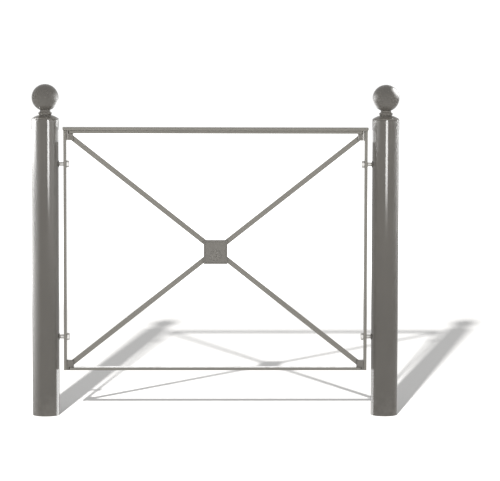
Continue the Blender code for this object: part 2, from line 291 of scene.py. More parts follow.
@dataclass(frozen=True)
class GlossPaint(Finish):
    """Glossy paint over steel or cast iron: slight clouding, orange peel, and dust near the ground."""

    roughness: float = 0.10
    clouding: float = 0.05
    cloud_scale: float = 5.0
    speck_scale: float = 900.0
    speck_shade: float = 0.88
    rub_scale: float = 38.0
    peel_scale: float = 240.0
    peel_depth: float = 0.000001
    cast_scale: float = 700.0
    cast_depth: float = 0.0
    dust_height: float = 0.0
    dust_share: float = 0.16
    dust_scale: float = 45.0
    dust: Colour = (0.30, 0.285, 0.26)

    def mix(self, bench: Bench) -> None:
        """Sets up the nodes of the paint.

        Args:
            bench: where they go.
        """
        clouds = bench.spread(bench.grain(self.cloud_scale, 3.0), 0.0, 1.0)
        darker, lighter = shade(self.colour, 1 - self.clouding), shade(self.colour, 1 + self.clouding)
        colour = bench.blend(clouds, darker, lighter)
        specks = bench.spread(bench.grain(self.speck_scale, 1.0), 0.0, 0.25, 0.62, 0.75)
        colour = bench.blend(specks, colour, shade(self.colour, self.speck_shade))
        if self.dust_height:
            low_down = bench.spread(bench.along("Z"), self.dust_share, 0.0, 0.0, self.dust_height)
            patches = bench.spread(bench.grain(self.dust_scale, 4.0), 0.0, 1.0, 0.35, 0.65)
            colour = bench.blend(bench.product(low_down, patches), colour, self.dust)
        bench.join(colour, bench.shader.inputs["Base Color"])
        rubbed = bench.spread(bench.grain(self.rub_scale, 3.0), self.roughness * 0.8, self.roughness * 1.3)
        bench.join(rubbed, bench.shader.inputs["Roughness"])
        normal = bench.relief(bench.grain(self.peel_scale), self.peel_depth)
        if self.cast_depth:
            normal = bench.relief(bench.grain(self.cast_scale, 3.0), self.cast_depth, normal)
        bench.join(normal, bench.shader.inputs["Normal"])


@dataclass(frozen=True)
class TurnedSteel(Finish):
    """Bright steel with fine rings left by the lathe round one axis."""

    roughness: float
    rings: Colour
    ring_scale: float = 60.0
    ring_depth: float = 0.000006
    stain: float = 0.12
    stain_scale: float = 140.0

    def mix(self, bench: Bench) -> None:
        """Sets up the nodes of the steel.

        Args:
            bench: where they go.
        """
        bench.shader.inputs["Metallic"].default_value = 1.0
        stains = bench.spread(bench.grain(self.stain_scale, 4.0), 0.0, 1.0, 0.4, 0.7)
        colour = bench.blend(stains, self.colour, shade(self.colour, 1 - self.stain))
        bench.join(colour, bench.shader.inputs["Base Color"])
        rings = bench.grain(self.ring_scale, 2.0, self.rings)
        uneven = bench.spread(rings, self.roughness * 0.8, self.roughness * 1.35)
        bench.join(uneven, bench.shader.inputs["Roughness"])
        bench.join(bench.relief(rings, self.ring_depth), bench.shader.inputs["Normal"])


POST_PAINT = GlossPaint("warm_grey_gloss_on_posts", "post_paint", (0.096, 0.090, 0.081), dust_height=0.08)
FRAME_PAINT = GlossPaint("warm_grey_gloss_on_frame", "frame_paint", (0.184, 0.176, 0.158), roughness=0.22)
CAST_PAINT = GlossPaint("warm_grey_gloss_on_castings", "cast_paint", (0.150, 0.142, 0.129), roughness=0.30,
                        peel_depth=0.000002, cast_depth=0.000003)
FINIAL_PAINT = GlossPaint("warm_grey_gloss_on_finials", "post_paint", (0.094, 0.088, 0.079), roughness=0.24,
                          peel_depth=0.0000005)
BOLT_STEEL = TurnedSteel("bright_bolt_steel", "bolt_steel", (0.66, 0.65, 0.63), 0.30, (24.0, 1.0, 1.0))
STUD_STEEL = TurnedSteel("plated_stud_steel", "inner_steel", (0.55, 0.56, 0.57), 0.3, (1.0, 1.0, 24.0),
                         stain=0.25)


# ------------------------------------------------------------------ shaping


def soften(corners: Sequence[Corner], closed: bool, steps: int = 5) -> list[Vector]:
    """Rounds the corners of an outline.

    Args:
        corners: (across, up, radius) of each corner.
        closed: whether the last corner joins the first.
        steps: how many steps each rounding has.

    Returns:
        The points of the rounded outline.
    """
    points: list[Vector] = []
    count = len(corners)
    for index, (across, up, radius) in enumerate(corners):
        corner = Vector((across, up))
        if radius <= 0 or (not closed and index in (0, count - 1)):
            points.append(corner)
            continue
        before = Vector(corners[index - 1][:2]) - corner
        after = Vector(corners[(index + 1) % count][:2]) - corner
        before.normalize()
        after.normalize()
        half = before.angle(after) / 2
        centre = corner + (before + after).normalized() * radius / math.sin(half)
        first = corner + before * radius / math.tan(half) - centre
        last = corner + after * radius / math.tan(half) - centre
        turn = first.angle_signed(last)
        for step in range(steps + 1):
            points.append(centre + Matrix.Rotation(-turn * step / steps, 2) @ first)
    return points


def arc(centre: Vector, radius: float, first: float, last: float, steps: int) -> list[Corner]:
    """Corners along a circular arc.

    Args:
        centre: centre of the arc.
        radius: its radius.
        first: angle it starts at, in radians from the across axis.
        last: angle it ends at.
        steps: how many steps it has.

    Returns:
        The corners, which need no rounding.
    """
    corners = []
    for step in range(steps + 1):
        angle = first + (last - first) * step / steps
        corners.append((centre.x + radius * math.cos(angle), centre.y + radius * math.sin(angle), 0.0))
    return corners


def tidy(solid: Solid) -> Solid:
    """Merges doubled points of a closed solid and turns its faces outwards.

    Args:
        solid: the solid to work on.

    Returns:
        The same solid.
    """
    bmesh.ops.remove_doubles(solid, verts=solid.verts, dist=1e-6)
    bmesh.ops.recalc_face_normals(solid, faces=solid.faces)
    return solid


def turned(outline: Sequence[Vector], steps: int, closed: bool = False) -> Solid:
    """Turns an outline of (radius, height) points round the Z axis.

    Args:
        outline: the points.
        steps: steps of the full turn.
        closed: whether the last point joins the first.

    Returns:
        The solid.
    """
    solid = bmesh.new()
    points = [solid.verts.new((point.x, 0, point.y)) for point in outline]
    pairs = list(zip(points, points[1:]))
    if closed:
        pairs.append((points[-1], points[0]))
    edges = [solid.edges.new(pair) for pair in pairs]
    bmesh.ops.spin(solid, geom=points + edges, cent=(0, 0, 0), axis=(0, 0, 1), angle=2 * math.pi, steps=steps,
                   use_merge=True)
    return tidy(solid)


def prism(outline: Sequence[Vector], low: float, high: float) -> Solid:
    """Raises a closed outline in the XY plane into a solid.

    Args:
        outline: the points.
        low: height of its lower face.
        high: height of its upper face.

    Returns:
        The solid.
    """
    solid = bmesh.new()
    base = solid.faces.new([solid.verts.new((point.x, point.y, low)) for point in outline])
    raised = bmesh.ops.extrude_face_region(solid, geom=[base])
    top = [item for item in raised["geom"] if isinstance(item, bmesh.types.BMVert)]
    bmesh.ops.translate(solid, verts=top, vec=(0, 0, high - low))
    return tidy(solid)


def block(low: Vector, high: Vector) -> Solid:
    """Makes a rectangular block.

    Args:
        low: its lowest corner.
        high: the corner across from that.

    Returns:
        The solid.
    """
    solid = bmesh.new()
    size = high - low
    place = Matrix.Translation((low + high) / 2) @ Matrix.Diagonal((*size, 1))
    bmesh.ops.create_cube(solid, size=1, matrix=place)
    return solid


def rod(radius: float, length: float, place: Matrix, steps: int = 48) -> Solid:
    """Makes a plain rod along Z, centred, and puts it in its place.

    Args:
        radius: distance from its axis to its corners.
        length: its length.
        place: where it goes.
        steps: how many sides it has.

    Returns:
        The solid.
    """
    solid = bmesh.new()
    bmesh.ops.create_cone(solid, cap_ends=True, segments=steps, radius1=radius, radius2=radius, depth=length,
                          matrix=place)
    return solid


def ease(solid: Solid, width: float, segments: int = 3, pick: Callable[[Edge], bool] | None = None,
         sharper_than: float = 30.0) -> Solid:
    """Rounds the sharp outward edges of a solid.

    Args:
        solid: the solid to work on.
        width: width of the rounding.
        segments: how many steps it has.
        pick: chooses which of the sharp edges are rounded. All of them if left out.
        sharper_than: angle in degrees past which an edge is sharp.

    Returns:
        The same solid.
    """
    solid.normal_update()
    chosen = []
    for edge in solid.edges:
        if len(edge.link_faces) != 2 or not edge.is_convex:
            continue
        if math.degrees(edge.calc_face_angle()) > sharper_than and (pick is None or pick(edge)):
            chosen.append(edge)
    bmesh.ops.bevel(solid, geom=chosen, offset=width, offset_type="OFFSET", affect="EDGES", segments=segments,
                    profile=0.5, material=-1, clamp_overlap=True)
    return solid


def moved(solid: Solid, place: Matrix) -> Solid:
    """Moves a solid to its place."""
    bmesh.ops.transform(solid, matrix=place, verts=solid.verts)
    return solid


def scratch(name: str, solid: Solid) -> bpy.types.Object:
    """Makes a solid an object in the scene.

    Args:
        name: name of the object.
        solid: its shape.

    Returns:
        The object.
    """
    mesh = bpy.data.meshes.new(name)
    solid.to_mesh(mesh)
    solid.free()
    thing = bpy.data.objects.new(name, mesh)
    bpy.context.scene.collection.objects.link(thing)
    return thing


def carve(solid: Solid, tool: Solid, how: Carving = Carving.REMOVE) -> Solid:
    """Shapes a solid with another.

    Args:
        solid: the solid to shape.
        tool: the solid that shapes it.
        how: whether the tool is cut away, joined on, or leaves what both share.

    Returns:
        The shaped solid.
    """
    work = scratch("work", solid)
    cutter = scratch("cutter", tool)
    action = work.modifiers.new("carve", "BOOLEAN")
    action.operation = how.value
    action.solver = "EXACT"
    action.object = cutter
    graph = bpy.context.evaluated_depsgraph_get()
    result = bmesh.new()
    result.from_object(work, graph)
    bmesh.ops.remove_doubles(result, verts=result.verts, dist=1e-7)
    bmesh.ops.dissolve_degenerate(result, edges=result.edges, dist=1e-7)
    for thing in (work, cutter):
        mesh = thing.data
        bpy.data.objects.remove(thing)
        bpy.data.meshes.remove(mesh)
    return result


def finish_piece(name: str, solid: Solid, finish: Finish, node: str,
                 smooth_below: float = 35.0) -> bpy.types.Object:
    """Makes a solid a finished piece that stands for a CAD node.

    Args:
        name: name of the piece.
        solid: its shape, in place.
        finish: what it is dressed in.
        node: the CAD node it stands for.
        smooth_below: edges flatter than this, in degrees, are shaded smooth.

    Returns:
        The piece.
    """
    mesh = bpy.data.meshes.new(name)
    solid.to_mesh(mesh)
    solid.free()
    mesh.materials.append(finish.material())
    mesh.shade_smooth()
    mesh.set_sharp_from_angle(angle=math.radians(smooth_below))
    piece = bpy.data.objects.new(name, mesh)
    bpy.context.scene.collection.objects.link(piece)
    flats = piece.modifiers.new("even_flats", "WEIGHTED_NORMAL")
    flats.keep_sharp = True
    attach(piece, BODY)
    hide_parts(node)
    LOG.info("%s: %d faces, %s", name, len(mesh.polygons), finish.name)
    return piece


def across_x(centre: Vector) -> Matrix:
    """Place of a shape made along Z that is to lie along X."""
    return Matrix.Translation(centre) @ Matrix.Rotation(math.pi / 2, 4, "Y")


# ------------------------------------------------------------------ posts


@dataclass
class Post:
    """Tube post with its domed cap, collar and ball."""

    side: Side
    bolt_heights: tuple[float, float]
    wall: float = 0.003
    tube_edge: float = 0.0007
    round_steps: int = 128
    boss_radius: float = 0.0095
    cap_rim: float = 0.002
    cap_edge: float = 0.0006
    dome_radius: float = 0.065
    dome_steps: int = 14
    seat_radius: float = 0.0185
    cap_hollow: float = 0.0015
    spigot_depth: float = 0.020
    spigot_edge: float = 0.001
    stud_radius: float = 0.006
    foot_radius: float = 0.0175
    foot_height: float = 0.0022
    foot_edge: float = 0.0004
    foot_root: float = 0.0006
    disc_radius: float = 0.019
    disc_height: float = 0.0055
    disc_edge: float = 0.0011
    groove: float = 0.0008
    groove_edge: float = 0.0005
    groove_root: float = 0.0003
    neck_radius: float = 0.0143
    neck_ledge: float = 0.0016
    neck_steps: int = 8
    cup_steps: int = 5
    finial_steps: int = 96
    ball_steps: int = 56
    stud_grip: float = 0.020
    axis: Vector = field(init=False)
    radius: float = field(init=False)
    height: float = field(init=False)

    def __post_init__(self) -> None:
        """Finds the post's axis and tube in the frame."""
        low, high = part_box(self.node("post_tube"))
        self.axis = Vector(((low.x + high.x) / 2, 0, 0))
        self.radius = (high.x - low.x) / 2
        self.height = high.z

    def node(self, word: str) -> str:
        """Name of one of the post's CAD nodes."""
        return self.side.word + "_" + word

    def stand(self, solid: Solid) -> Solid:
        """Moves a turned solid onto the post's axis."""
        return moved(solid, Matrix.Translation(self.axis))

    def build(self) -> None:
        """Builds the post from the ground up."""
        self.build_tube()
        self.build_cap()
        self.build_collar()
        self.build_ball()

    def build_tube(self) -> None:
        """Round tube with eased ends, bored on its inner side for the bosses."""
        inner = self.radius - self.wall
        edge = self.tube_edge
        corners = [(self.radius, 0, edge), (self.radius, self.height, edge)]
        corners += [(inner, self.height, edge), (inner, 0, edge)]
        tube = self.stand(turned(soften(corners, True, 3), self.round_steps, closed=True))
        for height in self.bolt_heights:
            centre = Vector((self.axis.x - self.side.value * self.radius, 0, height))
            tube = carve(tube, rod(self.boss_radius + FIT, self.radius, across_x(centre), 64))
        finish_piece(self.node("tube"), tube, POST_PAINT, self.node("post_tube"))

    def dome_height(self, radius: float) -> float:
        """Height of the cap's dome.

        Args:
            radius: distance from the post's axis.

        Returns:
            Its height over the ground.
        """
        rim = self.height + FIT + self.cap_rim
        drop = math.sqrt(self.dome_radius**2 - self.radius**2)
        return rim + math.sqrt(self.dome_radius**2 - radius**2) - drop

    def build_cap(self) -> None:
        """Low domed cap with a flat seat for the collar and a spigot inside the tube."""
        rim = self.height + FIT
        seat = self.dome_height(self.seat_radius)
        under = rim + self.cap_rim + self.cap_hollow
        outer = self.radius - self.wall - FIT
        inner = outer - self.wall
        bore = self.stud_radius + FIT
        centre = Vector((0, self.dome_height(0) - self.dome_radius))
        first = math.acos(self.radius / self.dome_radius)
        last = math.acos(self.seat_radius / self.dome_radius)
        corners = [(self.radius, rim, self.cap_edge), (self.radius, rim + self.cap_rim, self.cap_edge * 2)]
        corners += arc(centre, self.dome_radius, first, last, self.dome_steps)[2:]
        foot = rim - self.spigot_depth
        corners += [(bore, seat, 0), (bore, under, 0), (inner, under, self.spigot_edge)]
        corners += [(inner, foot, 0), (outer, foot, self.spigot_edge), (outer, rim, 0)]
        cap = self.stand(turned(soften(corners, True, 4), self.round_steps, closed=True))
        finish_piece(self.node("cap"), cap, FINIAL_PAINT, self.node("post_cap"))

    def ball(self) -> tuple[float, float]:
        """Finds the ball in the frame.

        Returns:
            Its radius, and the height of its centre.
        """
        low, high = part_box(self.node("finial_ball"))
        radius = (high.x - low.x) / 2
        return radius, high.z - radius

    def build_collar(self) -> None:
        """Turned collar: a foot, a disc with a groove round its rim, and a neck that cups the ball."""
        ball_radius, ball_centre = self.ball()
        bore = self.stud_radius + FIT
        foot = self.dome_height(self.seat_radius) + FIT
        disc = foot + self.foot_height
        top = disc + self.disc_height
        middle = (disc + top) / 2
        rim = self.disc_radius
        cup = ball_radius + FIT
        neck = ball_centre - math.sqrt(cup**2 - self.neck_radius**2)
        corners = [(bore, foot, 0), (self.foot_radius, foot, self.foot_edge)]
        corners += [(self.foot_radius, disc, self.foot_root), (rim, disc, self.disc_edge)]
        corners += [(rim, middle - self.groove / 2, self.groove_edge)]
        corners += [(rim - self.groove, middle, self.groove_root)]
        corners += [(rim, middle + self.groove / 2, self.groove_edge), (rim, top, self.disc_edge)]
        reach = rim - self.neck_ledge - self.neck_radius
        for step in range(1, self.neck_steps + 1):
            angle = math.pi / 2 * step / self.neck_steps
            height = top + (neck - top) * (1 - math.cos(angle))
            corners.append((self.neck_radius + reach * (1 - math.sin(angle)), height, 0))
        for step in range(1, self.cup_steps + 1):
            radius = self.neck_radius + (bore - self.neck_radius) * step / self.cup_steps
            corners.append((radius, ball_centre - math.sqrt(cup**2 - radius**2), 0))
        collar = self.stand(turned(soften(corners, True, 3), self.finial_steps, closed=True))
        finish_piece(self.node("collar"), collar, FINIAL_PAINT, self.node("finial_collar"))

    def build_ball(self) -> None:
        """Ball with a blind hole for the stud."""
        radius, height = self.ball()
        bore = self.stud_radius + FIT
        blind = height - radius + self.stud_grip
        mouth = math.asin(bore / radius)
        corners = arc(Vector((0, height)), radius, math.pi / 2, -math.pi / 2 + mouth, self.ball_steps)
        corners[0] = (0, height + radius, 0)
        corners += [(bore, blind, 0), (0, blind, 0)]
        ball = self.stand(turned(soften(corners, False), self.finial_steps))
        finish_piece(self.node("ball"), ball, FINIAL_PAINT, self.node("finial_ball"))


# ------------------------------------------------------------------ panel


@dataclass
class PanelFrame:
    """Frame of flat bars with a handrail on top and a casting in each corner."""

    bolt_heights: tuple[float, float]
    hole_radius: float = 0.0065
    bar_edge: float = 0.0005
    end_edge: float = 0.0005
    handrail_edge: float = 0.0025
    key_width: float = 0.008
    pad_size: float = 0.019
    pad_depth: float = 0.023
    pad_edge: float = 0.0007
    key_edge: float = 0.0004
    key_shoulder: float = 0.0010
    key_flat: float = 0.0002

    def build(self) -> None:
        """Builds the bars and the castings."""
        for side in Side:
            self.build_stile(side)
            for level in Level:
                self.build_corner(side, level)
        for name, piece in (("top_rail", "upper_bar"), ("bottom_rail", "lower_bar")):
            bar = ease(block(*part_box(name)), self.bar_edge, 4)
            finish_piece(piece, bar, FRAME_PAINT, name)
        rail = ease(block(*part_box("handrail")), self.handrail_edge, 6, lambda edge: self.runs_along(edge, 0))
        finish_piece("hand_bar", ease(rail, self.end_edge, 2), FRAME_PAINT, "handrail")

    @staticmethod
    def runs_along(edge: Edge, direction: int) -> bool:
        """Whether an edge runs along an axis: 0 for X, 1 for Y, 2 for Z."""
        line = edge.verts[1].co - edge.verts[0].co
        return abs(line[direction]) > 0.9 * line.length

    def build_stile(self, side: Side) -> None:
        """Upright flat bar with a drilled hole for each bolt.

        Args:
            side: end of the barrier.
        """
        name = side.word + "_stile"
        low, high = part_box(name)
        bar = ease(block(low, high), self.bar_edge, 4)
        for height in self.bolt_heights:
            centre = Vector(((low.x + high.x) / 2, 0, height))
            bar = carve(bar, rod(self.hole_radius, 3 * (high.x - low.x), across_x(centre)))
        finish_piece(side.word + "_upright", bar, FRAME_PAINT, name)

    def build_corner(self, side: Side, level: Level) -> None:
        """Corner casting: a round-nosed key beside the stile and a pad inside the corner.

        Args:
            side: end of the barrier.
            level: top or bottom of the panel.
        """
        name = f"{side.word}_{level.word}_corner"
        low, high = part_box(name)
        depth = high.y - low.y
        outer = high.x if side is Side.RIGHT else low.x
        inner = outer - side.value * self.key_width
        shoulder = self.key_shoulder
        nose = self.key_width - shoulder - self.key_flat
        left, right = min(outer, inner), max(outer, inner)
        radii = (shoulder, nose, nose, shoulder) if side is Side.LEFT else (nose, shoulder, shoulder, nose)
        places = ((left, -depth / 2), (right, -depth / 2), (right, depth / 2), (left, depth / 2))
        plan = [(*place, radius) for place, radius in zip(places, radii)]
        key = ease(prism(soften(plan, True, 8), low.z, high.z), self.key_edge, 3)
        pad_low = Vector((low.x, -self.pad_depth / 2, low.z))
        pad_high = Vector((high.x, self.pad_depth / 2, high.z))
        if side is Side.RIGHT:
            pad_high.x = outer - self.key_width / 2
        else:
            pad_low.x = outer + self.key_width / 2
        if level is Level.UPPER:
            pad_high.z = low.z + self.pad_size
        else:
            pad_low.z = high.z - self.pad_size
        pad = ease(block(pad_low, pad_high), self.pad_edge, 4)
        casting = carve(key, pad, Carving.JOIN)
        finish_piece(f"{side.word}_{level.word}_casting", casting, CAST_PAINT, name)


@dataclass
class Bracing:
    """Square diagonals: one runs through, and two halves meet its sides."""

    section: float = 0.014
    pad_size: float = 0.019
    edge: float = 0.0011
    half_width: float = field(init=False)
    half_height: float = field(init=False)
    centre: float = field(init=False)

    def __post_init__(self) -> None:
        """Finds the opening of the frame."""
        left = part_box("left_stile")[1]
        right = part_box("right_stile")[0]
        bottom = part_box("bottom_rail")[1].z
        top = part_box("top_rail")[0].z
        self.half_width = (right.x - left.x) / 2
        self.half_height = (top - bottom) / 2
        self.centre = (top + bottom) / 2

    @property
    def slope(self) -> float:
        """Angle of the diagonals above the level, in radians."""
        return math.atan2(self.half_height, self.half_width)

    def outline(self, side: Side, level: Level, start: float, skew: float) -> list[Vector]:
        """Outline of a diagonal from near the crossing out to one corner casting, in the plane of the panel.

        Args:
            side: end of the barrier that it goes to.
            level: top or bottom of the panel.
            start: distance from the crossing to its near end.
            skew: how far the near end turns from square towards the other diagonal.

        Returns:
            The points, across and up.
        """
        along = Vector((self.half_width, self.half_height)).normalized()
        across = Vector((-along.y, along.x))
        half = self.section / 2
        pad_x = self.half_width - self.pad_size - 2 * FIT
        pad_z = self.half_height - self.pad_size - 2 * FIT
        upper = across * half
        lower = -across * half
        upper_far = upper + along * ((pad_x - upper.x) / along.x)
        lower_far = lower + along * ((pad_z - lower.y) / along.y)
        near_upper = upper + along * (start - skew * half)
        near_lower = lower + along * (start + skew * half)
        points = [near_lower, lower_far, Vector((pad_x, pad_z)), upper_far, near_upper]
        return [Vector((side.value * point.x, self.centre + level.value * point.y)) for point in points]

    def bar(self, name: str, node: str, outline: Sequence[Vector]) -> None:
        """Makes one bar from its outline.

        Args:
            name: name of the piece.
            node: the CAD node it stands for.
            outline: its outline in the plane of the panel.
        """
        solid = prism(outline, -self.section / 2, self.section / 2)
        upright = Matrix.Rotation(math.pi / 2, 4, "X")
        solid = ease(moved(solid, upright), self.edge, 4, sharper_than=20)
        finish_piece(name, solid, FRAME_PAINT, node)

    def build(self) -> None:
        """Builds the three bars."""
        falling = self.outline(Side.RIGHT, Level.LOWER, 0, 0)[1:4]
        falling += self.outline(Side.LEFT, Level.UPPER, 0, 0)[1:4]
        self.bar("falling_brace", "diagonal_through", falling)
        start = (self.section / 2 + FIT) / math.sin(2 * self.slope)
        skew = 1 / math.tan(2 * self.slope)
        halves = (("upper_right", Side.RIGHT, Level.UPPER), ("lower_left", Side.LEFT, Level.LOWER))
        for words, side, level in halves:
            self.bar(words + "_half_brace", "diagonal_" + words, self.outline(side, level, start, skew))


@dataclass
class Medallion:
    """Square casting in two halves clamped round the crossing, each with a border and a raised rosette."""

    bracing: Bracing
    border: float = 0.0045
    recess: float = 0.0015
    outer_edge: float = 0.0007
    border_edge: float = 0.0005
    channel: float = 0.2
    petals: int = 8
    lobe: float = 0.14
    relief: float = 0.0025
    ground: float = 0.3
    button: float = 0.27
    bead_start: float = 0.26
    petal_start: float = 0.34
    vein_width: float = 0.035
    rings: int = 34
    steps: int = 192

    def build(self) -> None:
        """Builds both halves and their rosettes."""
        for facing in Facing:
            self.build_half(facing)
            self.build_rosette(facing)

    def build_half(self, facing: Facing) -> None:
        """One half: a block with a recessed field, channelled behind for the diagonals.

        Args:
            facing: face of the panel that it looks out from.
        """
        name = "medallion_" + facing.word
        solid = block(*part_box(name))
        solid.normal_update()
        outer = [face for face in solid.faces if face.normal.y * facing.value > 0.9]
        bmesh.ops.inset_region(solid, faces=outer, thickness=self.border, depth=0)
        sunk = bmesh.ops.extrude_face_region(solid, geom=outer)
        bmesh.ops.delete(solid, geom=outer, context="FACES_ONLY")
        floor = [item for item in sunk["geom"] if isinstance(item, bmesh.types.BMVert)]
        bmesh.ops.translate(solid, verts=floor, vec=(0, -facing.value * self.recess, 0))
        tidy(solid)
        ease(solid, self.outer_edge, 3, lambda edge: self.on_rim(edge, facing))
        ease(solid, self.border_edge, 2, lambda edge: self.on_face(edge, facing))
        for turn in (self.bracing.slope, -self.bracing.slope):
            thick = self.bracing.section / 2 + FIT
            past = self.channel / 2
            bar = block(Vector((-past, -thick, -thick)), Vector((past, thick, thick)))
            place = Matrix.Translation((0, 0, self.bracing.centre)) @ Matrix.Rotation(turn, 4, "Y")
            solid = carve(solid, moved(bar, place))
        finish_piece("medallion_half_" + facing.word, solid, CAST_PAINT, name)

    @staticmethod
    def inwards(edge: Edge, facing: Facing) -> tuple[float, float]:
        """How far the middle of an edge lies in from the sides of a half, and from its outer face.

        Args:
            edge: the edge.
            facing: face of the panel that the half looks out from.

        Returns:
            The two distances.
        """
        low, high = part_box("medallion_" + facing.word)
        middle = (edge.verts[0].co + edge.verts[1].co) / 2
        from_face = abs(middle.y - (high.y if facing is Facing.BACK else low.y))
        return min(middle.x - low.x, high.x - middle.x, middle.z - low.z, high.z - middle.z), from_face

    def on_rim(self, edge: Edge, facing: Facing) -> bool:
        """Whether an edge lies on the outside of the block, and not at the joint of the halves.

        Args:
            edge: the edge.
            facing: face of the panel that the half looks out from.

        Returns:
            Whether it does.
        """
        low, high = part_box("medallion_" + facing.word)
        from_side, from_face = self.inwards(edge, facing)
        return from_side < 1e-5 and high.y - low.y - from_face > 1e-4

    def on_face(self, edge: Edge, facing: Facing) -> bool:
        """Whether an edge is the inner edge of the border, on the outer face."""
        from_side, from_face = self.inwards(edge, facing)
        return from_face < 1e-5 and from_side > self.border / 2

    def height_at(self, share: float, angle: float) -> float:
        """Height of the rosette over its base.

        Args:
            share: share of its radius.
            angle: angle round it, in radians.

        Returns:
            The height.
        """
        if share > self.petal_start:
            petals = 0.5 + 0.5 * math.cos(self.petals * angle)
            out = (share - self.petal_start) / (1 - self.petal_start)
            swell = math.sin(math.pi * min(1.0, out)) ** 0.7
            aside = math.remainder(angle, 2 * math.pi / self.petals) / self.vein_width
            vein = 1 - 0.25 * math.exp(-aside**2)
            rise = 0.5 * swell * (0.25 + 0.75 * petals) * vein
        elif share > self.bead_start:
            rise = 0.25 * math.sin(math.pi * (share - self.bead_start) / (self.petal_start - self.bead_start))
        else:
            rise = (1 - self.ground) * math.sqrt(max(0.0, 1 - (share / self.button) ** 2))
        return self.relief * (self.ground + rise)

    def build_rosette(self, facing: Facing) -> None:
        """Raised rosette: eight veined petals round a bead ring and a button.

        Args:
            facing: face of the panel that it looks out from.
        """
        name = "rosette_" + facing.word
        low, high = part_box(name)
        centre = (low + high) / 2
        radius = (high.x - low.x) / 2
        base = low.y if facing is Facing.BACK else high.y
        outline = [Vector((0, 0)), Vector((radius, 0))]
        outline += [Vector((radius * (1 - ring / self.rings), self.relief)) for ring in range(self.rings + 1)]
        disc = turned(outline, self.steps)
        for point in disc.verts:
            share = math.hypot(point.co.x, point.co.y) / radius
            angle = math.atan2(point.co.y, point.co.x)
            if point.co.z > 0:
                point.co.z = self.height_at(share, angle)
            reach = (1 + self.lobe * share * math.cos(self.petals * angle)) / (1 + self.lobe)
            point.co.x *= reach
            point.co.y *= reach
        turn = Matrix.Rotation(math.pi / 2 if facing is Facing.FRONT else -math.pi / 2, 4, "X")
        place = Matrix.Translation((centre.x, base, centre.z)) @ turn
        disc = tidy(moved(disc, place))
        finish_piece("rosette_relief_" + facing.word, disc, CAST_PAINT, name, 50)


# ------------------------------------------------------------------ fixings


